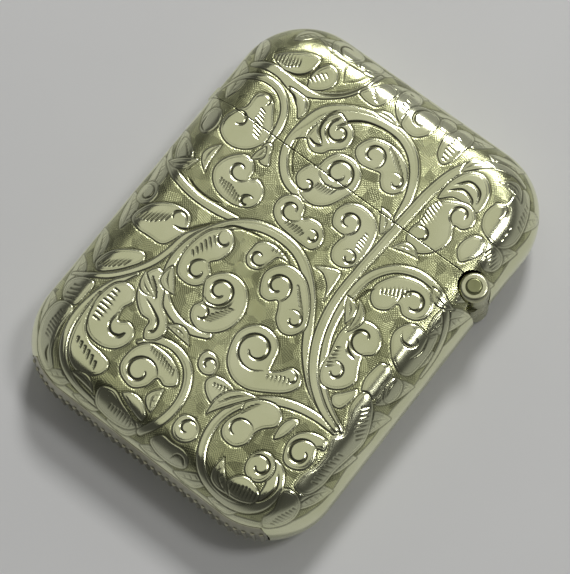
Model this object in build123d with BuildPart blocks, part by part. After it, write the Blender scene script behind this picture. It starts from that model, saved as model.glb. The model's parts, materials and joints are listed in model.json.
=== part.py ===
from build123d import *

import os
from math import atan, cos, degrees, radians, sin

# A pocket match safe (vesta case) in sheet silver: a flat, pillow-shaped box made of two
# dished halves, cut across into a body and a lid. The lid swings on a three-knuckle hinge
# on one narrow side, and the far end of the body carries a ribbed striker.
#
# Frame: the case lies on its back. +Z points out of the front, +Y along the case towards
# the lid, +X towards the hinge. The origin is the middle of the flat back. Millimetres.

# --- driving dimensions ---------------------------------------------------------------
case_width = 37.0
case_length = 49.0
case_thickness = 9.2
corner_radius = 7.9
shoulder_radius = 4.3
wall = 0.5

parting_y = 10.5
parting_gap = 0.12

hinge_x = 16.8
hinge_y = 10.06
knuckle_radius = 1.65
knuckle_end_round = 0.45
knuckle_bottom = 0.45
knuckle_top = 8.75
knuckle_gap = 0.05
lid_knuckle_height = 2.5
pin_radius = 0.5
pin_clearance = 0.03
plug_radius = 0.9
plug_depth = 0.7
plug_dome = 0.25
plug_dome_round = 0.24
swing_clearance = 0.12

ear_left = 1.2
ear_right = 0.4
ear_drop = 2.8
tongue_rise = 2.6
notch_drop = 2.25
notch_left = 0.4
tail_centre = (0.3, -1.0)
tail_radius = 1.0

rim_thickness = 0.4
rim_clearance = 0.15
rim_stand = 1.2
rim_depth = 3.0
rim_end_x = 13.0

band_half_height = 2.6
band_end_angle = 40.0
band_face_inset = 0.2
band_edge_inset = 0.55
band_back_inset = 1.05
rib_half_height = 1.5
rib_radius = 0.25
rib_pitch = 0.94
rib_end_margin = 2.0

spring_thickness = 0.35
spring_half_width = 0.9
spring_wall_gap = 0.05
spring_foot_y = -12.0
spring_foot_end_y = -8.0
spring_bow_depth = 0.9
spring_bow_y = 1.5
spring_tip_start = (-0.8, -3.2)
spring_tip_bend = (-0.65, -2.55)
spring_tip_end = (-0.2, -2.32)
rivet_y = -10.5
rivet_shank_radius = 0.6
rivet_head_radius = 1.1
rivet_head_height = 0.4
rivet_head_round = 0.32
rivet_bite = 0.3

catch_proud = 0.37
catch_height = 1.45
catch_curve_radius = 2.9

# --- derived places -------------------------------------------------------------------
half_width = case_width / 2
half_length = case_length / 2
middle_z = case_thickness / 2
corner_x = half_width - corner_radius
corner_y = half_length - corner_radius
body_top_y = parting_y - parting_gap / 2
lid_bottom_y = parting_y + parting_gap / 2
lid_knuckle_low = middle_z - lid_knuckle_height / 2
lid_knuckle_high = middle_z + lid_knuckle_height / 2
front_knuckle_low = lid_knuckle_high + knuckle_gap
back_knuckle_high = lid_knuckle_low - knuckle_gap
band_low = middle_z - band_half_height
band_high = middle_z + band_half_height
band_end_y = -half_length + corner_radius * (1 - cos(radians(band_end_angle)))
inner_wall_x = half_width - wall

hinge = (hinge_x, hinge_y)


def pillow(inset):
    """The outside shape of the whole case, moved in by inset on every side."""
    with BuildPart() as solid:
        with BuildSketch(Plane.XY.offset(inset)):
            RectangleRounded(
                case_width - 2 * inset,
                case_length - 2 * inset,
                corner_radius - inset,
            )
        extrude(amount=case_thickness - 2 * inset)
        flats = solid.faces().filter_by(Axis.Z)
        fillet(flats.edges(), shoulder_radius - inset)
    return solid.part


def block(x_low, x_high, y_low, y_high, z_low, z_high):
    """A plain box between two corners, used as a cutter or a limit."""
    with BuildPart(Plane.XY.offset(z_low)) as solid:
        with Locations(((x_low + x_high) / 2, (y_low + y_high) / 2)):
            Box(
                x_high - x_low,
                y_high - y_low,
                z_high - z_low,
                align=(Align.CENTER, Align.CENTER, Align.MIN),
            )
    return solid.part


def from_hinge(offset):
    """A plan point given by its offset from the hinge axis."""
    return (hinge_x + offset[0], hinge_y + offset[1])


def hinge_cylinder(radius, z_low, z_high):
    """A cylinder on the hinge axis."""
    with BuildPart() as solid:
        with BuildSketch(Plane.XY.offset(z_low)):
            with Locations(hinge):
                Circle(radius)
        extrude(amount=z_high - z_low)
    return solid.part


def outline_solid(inset, z_low, z_high, top_inset=None):
    """A slab of the case's plan outline, with an optional slope to a smaller top."""
    height = z_high - z_low
    slope = 0.0
    if top_inset is not None:
        slope = degrees(atan((top_inset - inset) / abs(height)))
    with BuildPart() as solid:
        with BuildSketch(Plane.XY.offset(z_low)):
            RectangleRounded(
                case_width - 2 * inset,
                case_length - 2 * inset,
                corner_radius - inset,
            )
        extrude(amount=height, taper=slope)
    return solid.part


outer = pillow(0)
cavity = pillow(wall)
hinge_relief = hinge_cylinder(knuckle_radius + swing_clearance, 0, case_thickness)
hinge_notch = block(
    hinge_x + notch_left,
    half_width + wall,
    hinge_y - notch_drop,
    parting_y + wall,
    0,
    case_thickness,
)
band_window = block(
    -half_width, half_width, -half_length - wall, band_end_y, band_low, band_high
)

# The rivet that holds the spring bites part of the way into the side wall.
with BuildPart() as rivet_seat_solid:
    with BuildSketch(Plane.YZ.offset(inner_wall_x - wall)):
        with Locations((rivet_y, middle_z)):
            Circle(rivet_shank_radius)
    extrude(amount=wall + rivet_bite)
rivet_seat = rivet_seat_solid.part


def half_shell(y_low, y_high, front, cutters):
    """One dished half of the body or of the lid."""
    z_low = middle_z if front else 0
    z_high = case_thickness if front else middle_z
    limit = block(-half_width, half_width, y_low, y_high, z_low, z_high)
    with BuildPart() as solid:
        add(outer)
        add(cavity, mode=Mode.SUBTRACT)
        add(limit, mode=Mode.INTERSECT)
        for cutter in cutters:
            add(cutter, mode=Mode.SUBTRACT)
    return solid.part


def finish(piece, name):
    """Label a finished piece and write it to its own STEP file."""
    piece.label = name
    export_step(piece, f"parts/{name}.step")


os.makedirs("parts", exist_ok=True)

# --- body -----------------------------------------------------------------------------
body_cutters = [hinge_relief, hinge_notch, band_window, rivet_seat]
body_front_shell = half_shell(-half_length, body_top_y, True, body_cutters)
finish(body_front_shell, "body_front_shell")

body_back_shell = half_shell(-half_length, body_top_y, False, body_cutters)
finish(body_back_shell, "body_back_shell")

# The striker is a band that closes the end of the body and turns up into both corners.
# Its face stands a little proud of the shells and slopes back to its two edges.
band_core = outline_solid(band_face_inset, middle_z - rib_half_height, middle_z + rib_half_height)
band_upper = outline_solid(
    band_face_inset, middle_z + rib_half_height, band_high, top_inset=band_edge_inset
)
band_lower = outline_solid(
    band_face_inset, middle_z - rib_half_height, band_low, top_inset=band_edge_inset
)
band_hollow = outline_solid(band_back_inset, band_low, band_high)
band_limit = block(-half_width, half_width, -half_length, band_end_y, band_low, band_high)

rib_angle = degrees(rib_pitch / corner_radius)
straight_ribs = int(corner_x / rib_pitch)
corner_ribs = int((band_end_angle - rib_end_margin) / rib_angle)
rib_line_y = -half_length + rib_radius
rib_places = [(i * rib_pitch, rib_line_y) for i in range(-straight_ribs, straight_ribs + 1)]
for side in (-1, 1):
    for turn in range(1, corner_ribs + 1):
        angle = radians(turn * rib_angle)
        reach = corner_radius - rib_radius
        rib_places.append(
            (side * (corner_x + reach * sin(angle)), -corner_y - reach * cos(angle))
        )

with BuildPart() as striker_plate:
    add(band_core)
    add(band_upper)
    add(band_lower)
    add(band_hollow, mode=Mode.SUBTRACT)
    add(band_limit, mode=Mode.INTERSECT)
    with BuildSketch(Plane.XY.offset(middle_z - rib_half_height)):
        with Locations(*rib_places):
            Circle(rib_radius)
    extrude(amount=2 * rib_half_height)
finish(striker_plate.part, "striker_plate")

# The rim is a strip bent round the inside of the mouth. It stands up into the lid on the
# front, the back and the far side, and stops short of the hinge.
rim_outside = pillow(wall + rim_clearance)
rim_inside = pillow(wall + rim_clearance + rim_thickness)
rim_limit = block(
    -half_width,
    rim_end_x,
    body_top_y - rim_depth,
    body_top_y + rim_stand,
    0,
    case_thickness,
)
with BuildPart() as mouth_rim:
    add(rim_outside)
    add(rim_inside, mode=Mode.SUBTRACT)
    add(rim_limit, mode=Mode.INTERSECT)
finish(mouth_rim.part, "mouth_rim")

# --- lid ------------------------------------------------------------------------------
lid_front_shell = half_shell(lid_bottom_y, half_length, True, [hinge_relief])
finish(lid_front_shell, "lid_front_shell")

lid_back_shell = half_shell(lid_bottom_y, half_length, False, [hinge_relief])
finish(lid_back_shell, "lid_back_shell")

# The thumb catch is a small crescent lip on the lid's edge, opposite the hinge.
with BuildPart() as catch_curve:
    with BuildSketch(Plane.XZ.offset(-lid_bottom_y - catch_height)):
        with Locations((-half_width - catch_proud + catch_curve_radius, middle_z)):
            Circle(catch_curve_radius)
    extrude(amount=catch_height)
with BuildPart() as thumb_catch:
    with BuildSketch(Plane.XY.offset(middle_z - catch_curve_radius)):
        with BuildLine():
            Polyline(
                (-half_width + wall, lid_bottom_y),
                (-half_width - catch_proud, lid_bottom_y),
                (-half_width, lid_bottom_y + catch_height),
                (-half_width + wall, lid_bottom_y + catch_height),
                close=True,
            )
        make_face()
    extrude(amount=2 * catch_curve_radius)
    add(catch_curve.part, mode=Mode.INTERSECT)
    add(outer, mode=Mode.SUBTRACT)
finish(thumb_catch.part, "thumb_catch")

# --- hinge ----------------------------------------------------------------------------
pin_bore = hinge_cylinder(pin_radius + pin_clearance, 0, case_thickness)


def body_knuckle(z_low, z_high, plug_seat, outer_end):
    """A body knuckle, with an ear that is soldered under the body's shoulder."""
    ear = block(
        hinge_x - ear_left, hinge_x + ear_right, hinge_y - ear_drop, hinge_y, z_low, z_high
    )
    with BuildPart() as ear_inside:
        add(ear)
        add(cavity, mode=Mode.INTERSECT)
    with BuildPart() as solid:
        with BuildSketch(Plane.XY.offset(z_low)):
            with Locations(hinge):
                Circle(knuckle_radius)
        extrude(amount=z_high - z_low)
        fillet(solid.edges().group_by(Axis.Z)[outer_end], knuckle_end_round)
        add(ear_inside.part)
        add(pin_bore, mode=Mode.SUBTRACT)
        add(plug_seat, mode=Mode.SUBTRACT)
    return solid.part


front_plug_seat = hinge_cylinder(plug_radius, knuckle_top - plug_depth, case_thickness)
body_knuckle_front = body_knuckle(front_knuckle_low, knuckle_top, front_plug_seat, -1)
finish(body_knuckle_front, "body_knuckle_front")

back_plug_seat = hinge_cylinder(plug_radius, 0, knuckle_bottom + plug_depth)
body_knuckle_back = body_knuckle(knuckle_bottom, back_knuckle_high, back_plug_seat, 0)
finish(body_knuckle_back, "body_knuckle_back")

# The lid's knuckle reaches up to the lid's wall, and its tail bears on the leaf spring.
lid_tongue = block(
    hinge_x - ear_left,
    half_width,
    hinge_y,
    hinge_y + tongue_rise,
    lid_knuckle_low,
    lid_knuckle_high,
)
with BuildPart() as lid_knuckle:
    add(lid_tongue)
    add(cavity, mode=Mode.INTERSECT)
    with BuildSketch(Plane.XY.offset(lid_knuckle_low)):
        with Locations(hinge):
            Circle(knuckle_radius)
        with Locations(from_hinge(tail_centre)):
            Circle(tail_radius)
    extrude(amount=lid_knuckle_height)
    add(pin_bore, mode=Mode.SUBTRACT)
finish(lid_knuckle.part, "lid_knuckle")

hinge_pin = hinge_cylinder(
    pin_radius, knuckle_bottom + plug_depth, knuckle_top - plug_depth
)
finish(hinge_pin, "hinge_pin")

with BuildPart() as pin_plug_front:
    with BuildSketch(Plane.XY.offset(knuckle_top - plug_depth)):
        with Locations(hinge):
            Circle(plug_radius)
    extrude(amount=plug_depth + plug_dome)
    fillet(pin_plug_front.edges().group_by(Axis.Z)[-1], plug_dome_round)
finish(pin_plug_front.part, "pin_plug_front")

with BuildPart() as pin_plug_back:
    with BuildSketch(Plane.XY.offset(knuckle_bottom - plug_dome)):
        with Locations(hinge):
            Circle(plug_radius)
    extrude(amount=plug_depth + plug_dome)
    fillet(pin_plug_back.edges().group_by(Axis.Z)[0], plug_dome_round)
finish(pin_plug_back.part, "pin_plug_back")

# --- snap spring ----------------------------------------------------------------------
# The leaf lies against the side wall, bows inwards, and ends under the lid knuckle's tail.
spring_x = inner_wall_x - spring_wall_gap - spring_thickness / 2
with BuildPart() as leaf_spring:
    with BuildSketch(Plane.XY.offset(middle_z - spring_half_width)):
        with BuildLine() as spring_line:
            foot = Line((spring_x, spring_foot_y), (spring_x, spring_foot_end_y))
            bow = Spline(
                foot @ 1,
                (spring_x - spring_bow_depth, spring_bow_y),
                from_hinge(spring_tip_start),
                tangents=((0, 1), (-0.1, 1)),
            )
            tip = ThreePointArc(
                bow @ 1,
                from_hinge(spring_tip_bend),
                from_hinge(spring_tip_end),
            )
        trace(spring_line.edges(), line_width=spring_thickness)
    extrude(amount=2 * spring_half_width)
    add(rivet_seat, mode=Mode.SUBTRACT)
finish(leaf_spring.part, "leaf_spring")

rivet_head_x = spring_x - spring_thickness / 2 - rivet_head_height
with BuildPart() as spring_rivet:
    with BuildSketch(Plane.YZ.offset(rivet_head_x)):
        with Locations((rivet_y, middle_z)):
            Circle(rivet_head_radius)
    extrude(amount=rivet_head_height)
    fillet(spring_rivet.edges().group_by(Axis.X)[0], rivet_head_round)
    with BuildSketch(Plane.YZ.offset(rivet_head_x + rivet_head_height)):
        with Locations((rivet_y, middle_z)):
            Circle(rivet_shank_radius)
    extrude(amount=inner_wall_x + rivet_bite - rivet_head_x - rivet_head_height)
finish(spring_rivet.part, "spring_rivet")
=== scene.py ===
import json
import math

import bpy
import numpy as np
from mathutils import Matrix, Vector


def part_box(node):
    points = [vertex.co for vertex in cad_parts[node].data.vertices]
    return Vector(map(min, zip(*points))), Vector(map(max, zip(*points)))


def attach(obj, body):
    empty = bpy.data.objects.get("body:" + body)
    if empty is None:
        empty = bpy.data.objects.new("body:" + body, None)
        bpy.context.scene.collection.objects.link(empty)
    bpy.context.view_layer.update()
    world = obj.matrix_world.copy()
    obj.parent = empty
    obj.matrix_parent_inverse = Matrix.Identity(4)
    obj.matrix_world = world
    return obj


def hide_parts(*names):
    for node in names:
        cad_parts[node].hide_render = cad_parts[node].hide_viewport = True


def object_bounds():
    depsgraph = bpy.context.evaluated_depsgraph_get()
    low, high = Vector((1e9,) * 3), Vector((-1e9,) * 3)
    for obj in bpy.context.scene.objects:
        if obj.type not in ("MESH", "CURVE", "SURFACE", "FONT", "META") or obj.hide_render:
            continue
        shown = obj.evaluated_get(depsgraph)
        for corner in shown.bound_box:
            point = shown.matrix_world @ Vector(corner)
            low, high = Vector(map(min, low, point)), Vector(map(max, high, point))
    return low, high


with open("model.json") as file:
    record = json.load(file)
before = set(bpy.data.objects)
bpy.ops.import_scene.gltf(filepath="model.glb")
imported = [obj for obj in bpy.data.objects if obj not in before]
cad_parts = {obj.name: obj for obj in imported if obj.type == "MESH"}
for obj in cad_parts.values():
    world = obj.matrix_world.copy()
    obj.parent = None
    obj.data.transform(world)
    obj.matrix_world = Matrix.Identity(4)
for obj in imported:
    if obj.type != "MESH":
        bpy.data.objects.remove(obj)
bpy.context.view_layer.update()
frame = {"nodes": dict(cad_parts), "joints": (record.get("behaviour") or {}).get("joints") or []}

# An engraved silver match safe, lying on its back. +Y runs towards the lid, +X towards the
# hinge. Shapes are worked out in millimetres and turned into metres when a mesh is made.
MM = 0.001

# --- places taken from the CAD frame --------------------------------------------------
body_high = np.array(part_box("body_front_shell")[1]) / MM
lid_low, lid_high = (np.array(v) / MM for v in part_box("lid_front_shell"))
plate_high = np.array(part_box("striker_plate")[1]) / MM
hinge = np.array(frame["joints"][0]["pos_m"][:2]) / MM

HALF_X = max(body_high[0], lid_high[0])
HALF_Y = lid_high[1]
THICK = body_high[2]
MIDDLE = THICK / 2
# The drawn metal comes this much closer across the seam than the CAD's clearance.
SEAM_CLOSE = 0.03
BODY_TOP = body_high[1] + SEAM_CLOSE
LID_BOTTOM = lid_low[1] - SEAM_CLOSE
BAND_TOP = plate_high[2]
BAND_END = plate_high[1]

# The rounded form: the plan's corners, the shoulder that runs all round, the sheet, and the
# round clearance for the hinge, drawn a little closer than the CAD's.
CORNER = 7.9
SHOULDER = 4.3
WALL = 0.5
RELIEF = 1.72
NOTCH_X = hinge[0] + 0.4
NOTCH_Y = hinge[1] - 2.25
FLAT_X = HALF_X - SHOULDER
FLAT_Y = HALF_Y - SHOULDER
CORE_CORNER = CORNER - SHOULDER
BEND_X = HALF_X - CORNER
BEND_Y = HALF_Y - CORNER
QUARTER = SHOULDER * math.pi / 2
RING_END = QUARTER + MIDDLE - SHOULDER
BAND_RING = SHOULDER * math.acos(1 - (THICK - BAND_TOP) / SHOULDER)
NOTCH_RING = SHOULDER * math.asin((NOTCH_X - FLAT_X) / SHOULDER)

# --- engraving ------------------------------------------------------------------------
# The engraver's work is drawn in millimetres on the unrolled front of the case, where x runs
# towards the hinge and y towards the lid, and (0, 0) is the middle of the face.
PIXEL = 0.05
HALF_U = 21.3
HALF_V = 27.3
COLS = int(round(2 * HALF_U / PIXEL)) + 1
ROWS = int(round(2 * HALF_V / PIXEL)) + 1
GRID_U = np.linspace(-HALF_U, HALF_U, COLS)
GRID_V = np.linspace(-HALF_V, HALF_V, ROWS)
RISE = 0.035
LEAF_SHOULDER = 0.2
STEM_SHOULDER = 0.09
OUTLINE = 0.12
OUTLINE_DEPTH = 0.055
FINE_INSET, FINE_WIDTH, FINE_DEPTH = 0.3, 0.07, 0.022
FINEST = 0.03
FULL_WIDTH = 0.12
FAR = 9.0

# The height of the metal, where it is polished, and the depth of the cuts in it.
level = np.zeros((ROWS, COLS))
polish = np.zeros((ROWS, COLS))
cut = np.zeros((ROWS, COLS))


def smooth_path(points, step=0.1, closed=False):
    """A smooth curve through given points, each with any number of values."""
    p = np.array(points, float)
    if closed:
        ends = np.vstack([p[-1], p, p[0], p[1]])
    else:
        ends = np.vstack([2 * p[0] - p[1], p, 2 * p[-1] - p[-2]])
    runs = []
    for i in range(1, len(ends) - 2):
        a, b, c, d = ends[i - 1:i + 3]
        t = np.linspace(0, 1, max(2, int(np.hypot(*(c - b)[:2]) / step)), endpoint=False)[:, None]
        square, cube = 2 * a - 5 * b + 4 * c - d, 3 * b - a - 3 * c + d
        runs.append(0.5 * (2 * b + (c - a) * t + square * t**2 + cube * t**3))
    if not closed:
        runs.append(p[-1:])
    return np.vstack(runs)


def window(x_low, x_high, y_low, y_high):
    """Row and column slices of the plate that cover a rectangle."""
    c0 = max(0, int((x_low + HALF_U) / PIXEL))
    r0 = max(0, int((y_low + HALF_V) / PIXEL))
    c1 = min(COLS, int((x_high + HALF_U) / PIXEL) + 2)
    r1 = min(ROWS, int((y_high + HALF_V) / PIXEL) + 2)
    return slice(r0, max(r0, r1)), slice(c0, max(c0, c1))


def swept(path, margin):
    """Distance outside a swept round brush, over the part of the plate that it touches."""
    x_low, y_low = (path[:, :2] - path[:, 2:]).min(0) - margin - PIXEL
    x_high, y_high = (path[:, :2] + path[:, 2:]).max(0) + margin + PIXEL
    area = window(x_low, x_high, y_low, y_high)
    away = np.full((area[0].stop - area[0].start, area[1].stop - area[1].start), FAR)
    for x, y, r in path:
        reach = r + margin
        rows, cols = window(x - reach, x + reach, y - reach, y + reach)
        u = GRID_U[cols][None, :] - x
        v = GRID_V[rows][:, None] - y
        top, left = area[0].start, area[1].start
        part = away[rows.start - top:rows.stop - top, cols.start - left:cols.stop - left]
        np.minimum(part, np.hypot(u, v) - r, out=part)
    return area, away


def raise_inside(area, away, outline, depth, shoulder=LEAF_SHOULDER):
    """Polished, gently domed metal where away is negative, with a V cut along its outline."""
    inside = away < 0
    level[area][inside] = RISE * (1 - np.exp(away[inside] / shoulder))
    polish[area][inside] = 1.0
    cut[area][inside] = 0.0
    groove = depth * np.clip(1 - np.abs(away) / outline, 0, None)
    np.maximum(cut[area], groove, out=cut[area])


def line(points, depth=0.05):
    """A tapering V cut through points of (x, y, half width)."""
    for x, y, w in smooth_path(points, 0.06):
        w = max(w, FINEST)
        rows, cols = window(x - w, x + w, y - w, y + w)
        u = GRID_U[cols][None, :] - x
        v = GRID_V[rows][:, None] - y
        groove = depth * min(1.0, w / FULL_WIDTH) * (1 - np.hypot(u, v) / w)
        np.maximum(cut[rows, cols], groove, out=cut[rows, cols])


def stem(discs, side=0):
    """A stem swept through (x, y, radius) discs, with a fine line along one side."""
    path = smooth_path(discs)
    raise_inside(*swept(path, 0.4), OUTLINE, OUTLINE_DEPTH, STEM_SHOULDER)
    if side:
        way = np.gradient(path[:, :2], axis=0)
        way /= np.hypot(*way.T)[:, None]
        offset = side * 0.35 * path[:, 2:]
        beside = path[:, :2] + np.column_stack([-way[:, 1], way[:, 0]]) * offset
        taper = np.sin(np.linspace(0.12, math.pi - 0.12, len(path))) * 0.1
        line(np.column_stack([beside, taper])[::6], 0.04)


def petal(outline):
    """A polished leaf inside a smooth closed outline."""
    path = smooth_path(outline, closed=True)
    area, away = swept(np.column_stack([path, np.zeros(len(path))]), 1.2)
    u = GRID_U[area[1]][None, :]
    v = GRID_V[area[0]][:, None]
    inside = np.zeros(away.shape, bool)
    for (x0, y0), (x1, y1) in zip(path, np.roll(path, -1, axis=0)):
        if y0 != y1:
            inside ^= ((y0 > v) != (y1 > v)) & (u < x0 + (v - y0) * (x1 - x0) / (y1 - y0))
    raise_inside(area, np.where(inside, -away, away), OUTLINE, OUTLINE_DEPTH)
    # A second, finer line follows just inside the outline.
    fine = FINE_DEPTH * np.clip(1 - np.abs(away - FINE_INSET) / FINE_WIDTH, 0, None) * inside
    np.maximum(cut[area], fine, out=cut[area])


def curl(x, y, from_x, from_y, turns, hand=1, width=0.15):
    """The spiral cut that starts at a leaf's outline and curls in round (x, y)."""
    t = np.linspace(0, 1, 16)
    angle = math.atan2(from_y - y, from_x - x) + hand * 2 * math.pi * turns * t
    reach = math.hypot(from_x - x, from_y - y) * (1 - 0.68 * t**0.8)
    half = width * (0.35 + 0.9 * np.sin(np.pi * np.clip(t * 0.95, 0, 1)))
    line(np.column_stack([x + reach * np.cos(angle), y + reach * np.sin(angle), half]), 0.08)


def ticks(x0, y0, x1, y1, count, length, lean, width=0.13):
    """A row of short wedge-shaped shading cuts."""
    for i in range(count):
        t = i / (count - 1)
        swell = 0.45 + 0.6 * math.sin(math.pi * (0.1 + 0.65 * t))
        size = length * (swell + 0.12 * math.sin(5.1 * i))
        x = x0 + (x1 - x0) * t
        y = y0 + (y1 - y0) * t
        dx = size / 2 * np.cos(np.radians(lean))
        dy = size / 2 * np.sin(np.radians(lean))
        line([(x - dx, y - dy, width), (x, y, width * 0.75), (x + dx, y + dy, FINEST)], 0.06)


def leaf(x, y, tip_x, tip_y, width, bend=0.15, cuts=5):
    """A pointed leaf from its foot to its tip, with a vein and shading cuts on one half."""
    foot_at, way = np.array([x, y]), np.array([tip_x - x, tip_y - y])
    across = np.array([-way[1], way[0]]) / np.hypot(*way)
    t = np.array([0, 0.2, 0.45, 0.7, 0.88, 1])
    half = width / 2 * np.array([0.12, 0.75, 1, 0.8, 0.4, 0])
    bow = bend * np.hypot(*way) * 4 * t * (1 - t)
    spine = foot_at + way * t[:, None] + across * bow[:, None]
    left, right = spine + across * half[:, None], spine - across * half[:, None]
    petal(np.vstack([left, right[-2::-1]]))
    vein = np.array([0.05, 0.1, 0.12, 0.08, 0.05, 0.04])
    line(np.column_stack([spine, vein])[:5], 0.06)
    if cuts:
        lean = math.degrees(math.atan2(way[1], way[0])) - 55
        near, far = (right[1] + spine[1]) / 2, (right[3] + spine[3]) / 2
        ticks(*near, *far, cuts, width * 0.36, lean, 0.1)


# The sides are left plain and polished, past a wavering line that runs all round.
BORDER = 8.0
BOTTOM_BORDER = 7.2
grid_u, grid_v = np.meshgrid(GRID_U, GRID_V)
past_x = np.maximum(np.abs(grid_u) - BEND_X, 0)
past_y = np.maximum(np.abs(grid_v) - BEND_Y, 0)
past_bends = np.hypot(past_x, past_y)
border = BORDER - (BORDER - BOTTOM_BORDER) * np.clip((-grid_v - 19) / 3, 0, 1)
border = border + 0.22 * np.sin(0.9 * grid_v + 0.5 * grid_u)
raise_inside((slice(0, ROWS), slice(0, COLS)), border - past_bends, 0.1, 0.05)

# A garland of leaves lies along that line, under the scrolls.
for i in range(9):
    y = -20.5 + 4.5 * i
    swing = math.sin(2.1 * i)
    little = 0.3 * swing
    leaf(-16.2 - little, y, -18.9 + little, y + 4.4 + 0.5 * swing, 2.1 + little, -0.12)
    leaf(16.4 + little, y + 1.2, 19 - little, y + 5.4 - 0.5 * swing, 2.2 - little, 0.12)
for i in range(6):
    x = -12.5 + 4.4 * i
    swing = math.sin(1.7 * i)
    leaf(x, 22.3 + 0.3 * swing, x + 4.2, 24.7 - 0.3 * swing, 2.1, -0.12)
    leaf(x + 2.8, -21.9 - 0.2 * swing, x - 1, -23.9, 1.8, 0.12, 4)

# Stems and scrolls, the lowest first
stem([(-11.6, -9.8, .3), (-12.9, -12.4, .45), (-13.6, -15, .45), (-13.7, -17.4, .45),
    (-13, -19.8, .45), (-11.6, -21.6, .45), (-9.5, -22.7, .4), (-7.2, -23.1, .35),
    (-5, -23.2, .25)], 1)
stem([(-7, .9, .4), (-9, .55, .5), (-11.4, .4, .5), (-13.6, .6, .5), (-15.6, 1.2, .5),
    (-17.4, 2.3, .4), (-18.8, 3.6, .25)], 1)
stem([(-8.8, -1.6, .25), (-10, -3.6, .35), (-10.4, -6, .4), (-11, -8, .4), (-12.2, -10, .35),
    (-13.8, -11.8, .35), (-15.8, -13, .3), (-17.6, -13.6, .2)])
stem([(12.6, -9.8, .25), (10, -8.4, .4), (7.6, -6, .5), (5.9, -3.4, .55), (4.2, -1, .6),
    (2.2, .9, .6), (0, 2, .6), (-2.6, 2.2, .6), (-5, 1.6, .6), (-7, .2, .55), (-8.5, -1.9, .5),
    (-9.3, -4.3, .5), (-9.4, -6.6, .5), (-8.7, -8.6, .5), (-7.4, -10.2, .5), (-5.4, -11.1, .5),
    (-3.4, -11.2, .5), (-1.7, -10.5, .55)], -1)
stem([(6.4, 9, .3), (6.2, 11.5, .5), (5.7, 13.8, .5), (4.7, 15.9, .55), (3.2, 17.5, .6),
    (1.3, 18.4, .6), (-.7, 18.5, .6), (-2.8, 18.1, .75), (-4.9, 17, 1), (-6.4, 15.4, 1.3),
    (-7.1, 13.6, 1.2), (-7.9, 11.8, .55), (-7.7, 10.2, .5), (-6.8, 8.6, .5), (-5.4, 7.4, .5),
    (-3.6, 7, .5), (-1.9, 7.4, .6)], -1)
stem([(15.2, -10.7, .3), (12.2, -10.6, .45), (9.4, -11.2, .5), (7.1, -12.5, .5), (5.4, -14.5, .5),
    (4.7, -16.9, .5), (5, -19.3, .5), (6.2, -21.4, .5), (8, -22.6, .5), (10.2, -22.9, .55),
    (12.3, -22.2, .7), (13.4, -20.8, .85), (13.5, -19, .95), (12.7, -17.5, .9),
    (11.6, -17.1, .7)], 1)
stem([(15.8, -10.3, .25), (13.4, -9.4, .45), (11, -7.9, .6), (9.2, -5.6, .7), (7.9, -3, .7),
    (7.4, -.2, .6), (7.4, 2.4, .55), (7.9, 4.6, .55), (9.2, 6.4, .5), (11, 7.4, .5), (13, 7.6, .45),
    (15, 7, .45), (16.7, 5.7, .4), (17.9, 3.9, .4), (18.6, 1.8, .35), (18.8, -.4, .25)], -1)
stem([(14.8, -10.4, .3), (12.2, -9.4, .45), (9.7, -7.5, .5), (7.9, -4.8, .55), (6.9, -2, .55),
    (6.45, 1, .5), (6.5, 4.5, .5), (6.7, 8, .55), (6.9, 12, .6), (7.2, 15.5, .6), (7.9, 18.4, .6),
    (9.3, 20.6, .55), (11.2, 22, .5), (13, 22.5, .45), (14.6, 22.3, .3)], 1)
stem([(-6.8, -15.4, .25), (-5.5, -14.1, .4), (-3.4, -13.6, .45), (-1.3, -14.3, .5), (0, -16, .5),
    (.5, -18.2, .5), (.2, -20.5, .5), (-.9, -22.6, .4)], -1)
stem([(-18.6, 11.4, .2), (-17.4, 13, .3), (-16, 14.2, .4), (-14, 15, .45), (-12.1, 14.8, .45),
    (-10.5, 13.5, .45), (-9.7, 11.6, .45), (-9.6, 9.8, .4)], -1)
stem([(-16.6, 15.6, .3), (-15, 16.2, .5), (-13.2, 16.4, .6), (-11.2, 16.1, .7), (-9.2, 16.5, .5),
    (-7.4, 17.6, .4), (-6, 19, .35), (-5.1, 20.8, .3), (-4.7, 22.8, .25)])

# Lid, far side from the hinge
petal([(-15.1, 17.6), (-14, 18.9), (-12.5, 19.9), (-10.9, 20.3), (-10.7, 19.2), (-11, 18),
    (-12, 17.2), (-13.5, 16.9)])
ticks(-14.7, 17.7, -12.4, 18.7, 8, 1.4, 105, 0.16)
line([(-13.5, 16.8, .05), (-11.7, 17.2, .3), (-10.7, 18.3, .35), (-10.5, 19.8, .05)], .09)
petal([(-10.5, 17.6), (-10.5, 19), (-9.8, 20.2), (-8.7, 20.2), (-7.9, 19.2), (-8.1, 18), (-9, 17.1),
    (-10, 16.8)])
ticks(-10.3, 17.3, -9, 19, 6, 1.1, -28)
petal([(-10.8, 22.1), (-11.2, 23.4), (-10.4, 24.6), (-8.9, 24.9), (-7.6, 24.1), (-7.4, 22.8),
    (-8.3, 22), (-9.6, 21.8)])
curl(-9.2, 23.3, -7.6, 23.2, .8, -1)
petal([(-7.2, 22.3), (-6, 22.4), (-5.1, 23), (-5.2, 24.3), (-6.3, 24.5), (-7.1, 23.6)])
line([(-10.6, 21.6, .08), (-8.6, 21.7, .15), (-6.8, 21.9, .15), (-5.3, 22.8, .05)], .08)
line([(-8.2, 21.5, .05), (-8, 20.6, .12), (-7.3, 19.4, .05)], .07)
line([(-7.3, 19.4, .05), (-6.3, 20.6, .14), (-5.6, 22.2, .05)], .08)
line([(-10.2, 16.7, .06), (-8.4, 17.1, .16), (-6.8, 18.2, .2), (-5.5, 20.1, .16),
    (-4.9, 22.2, .05)], .08)
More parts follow.
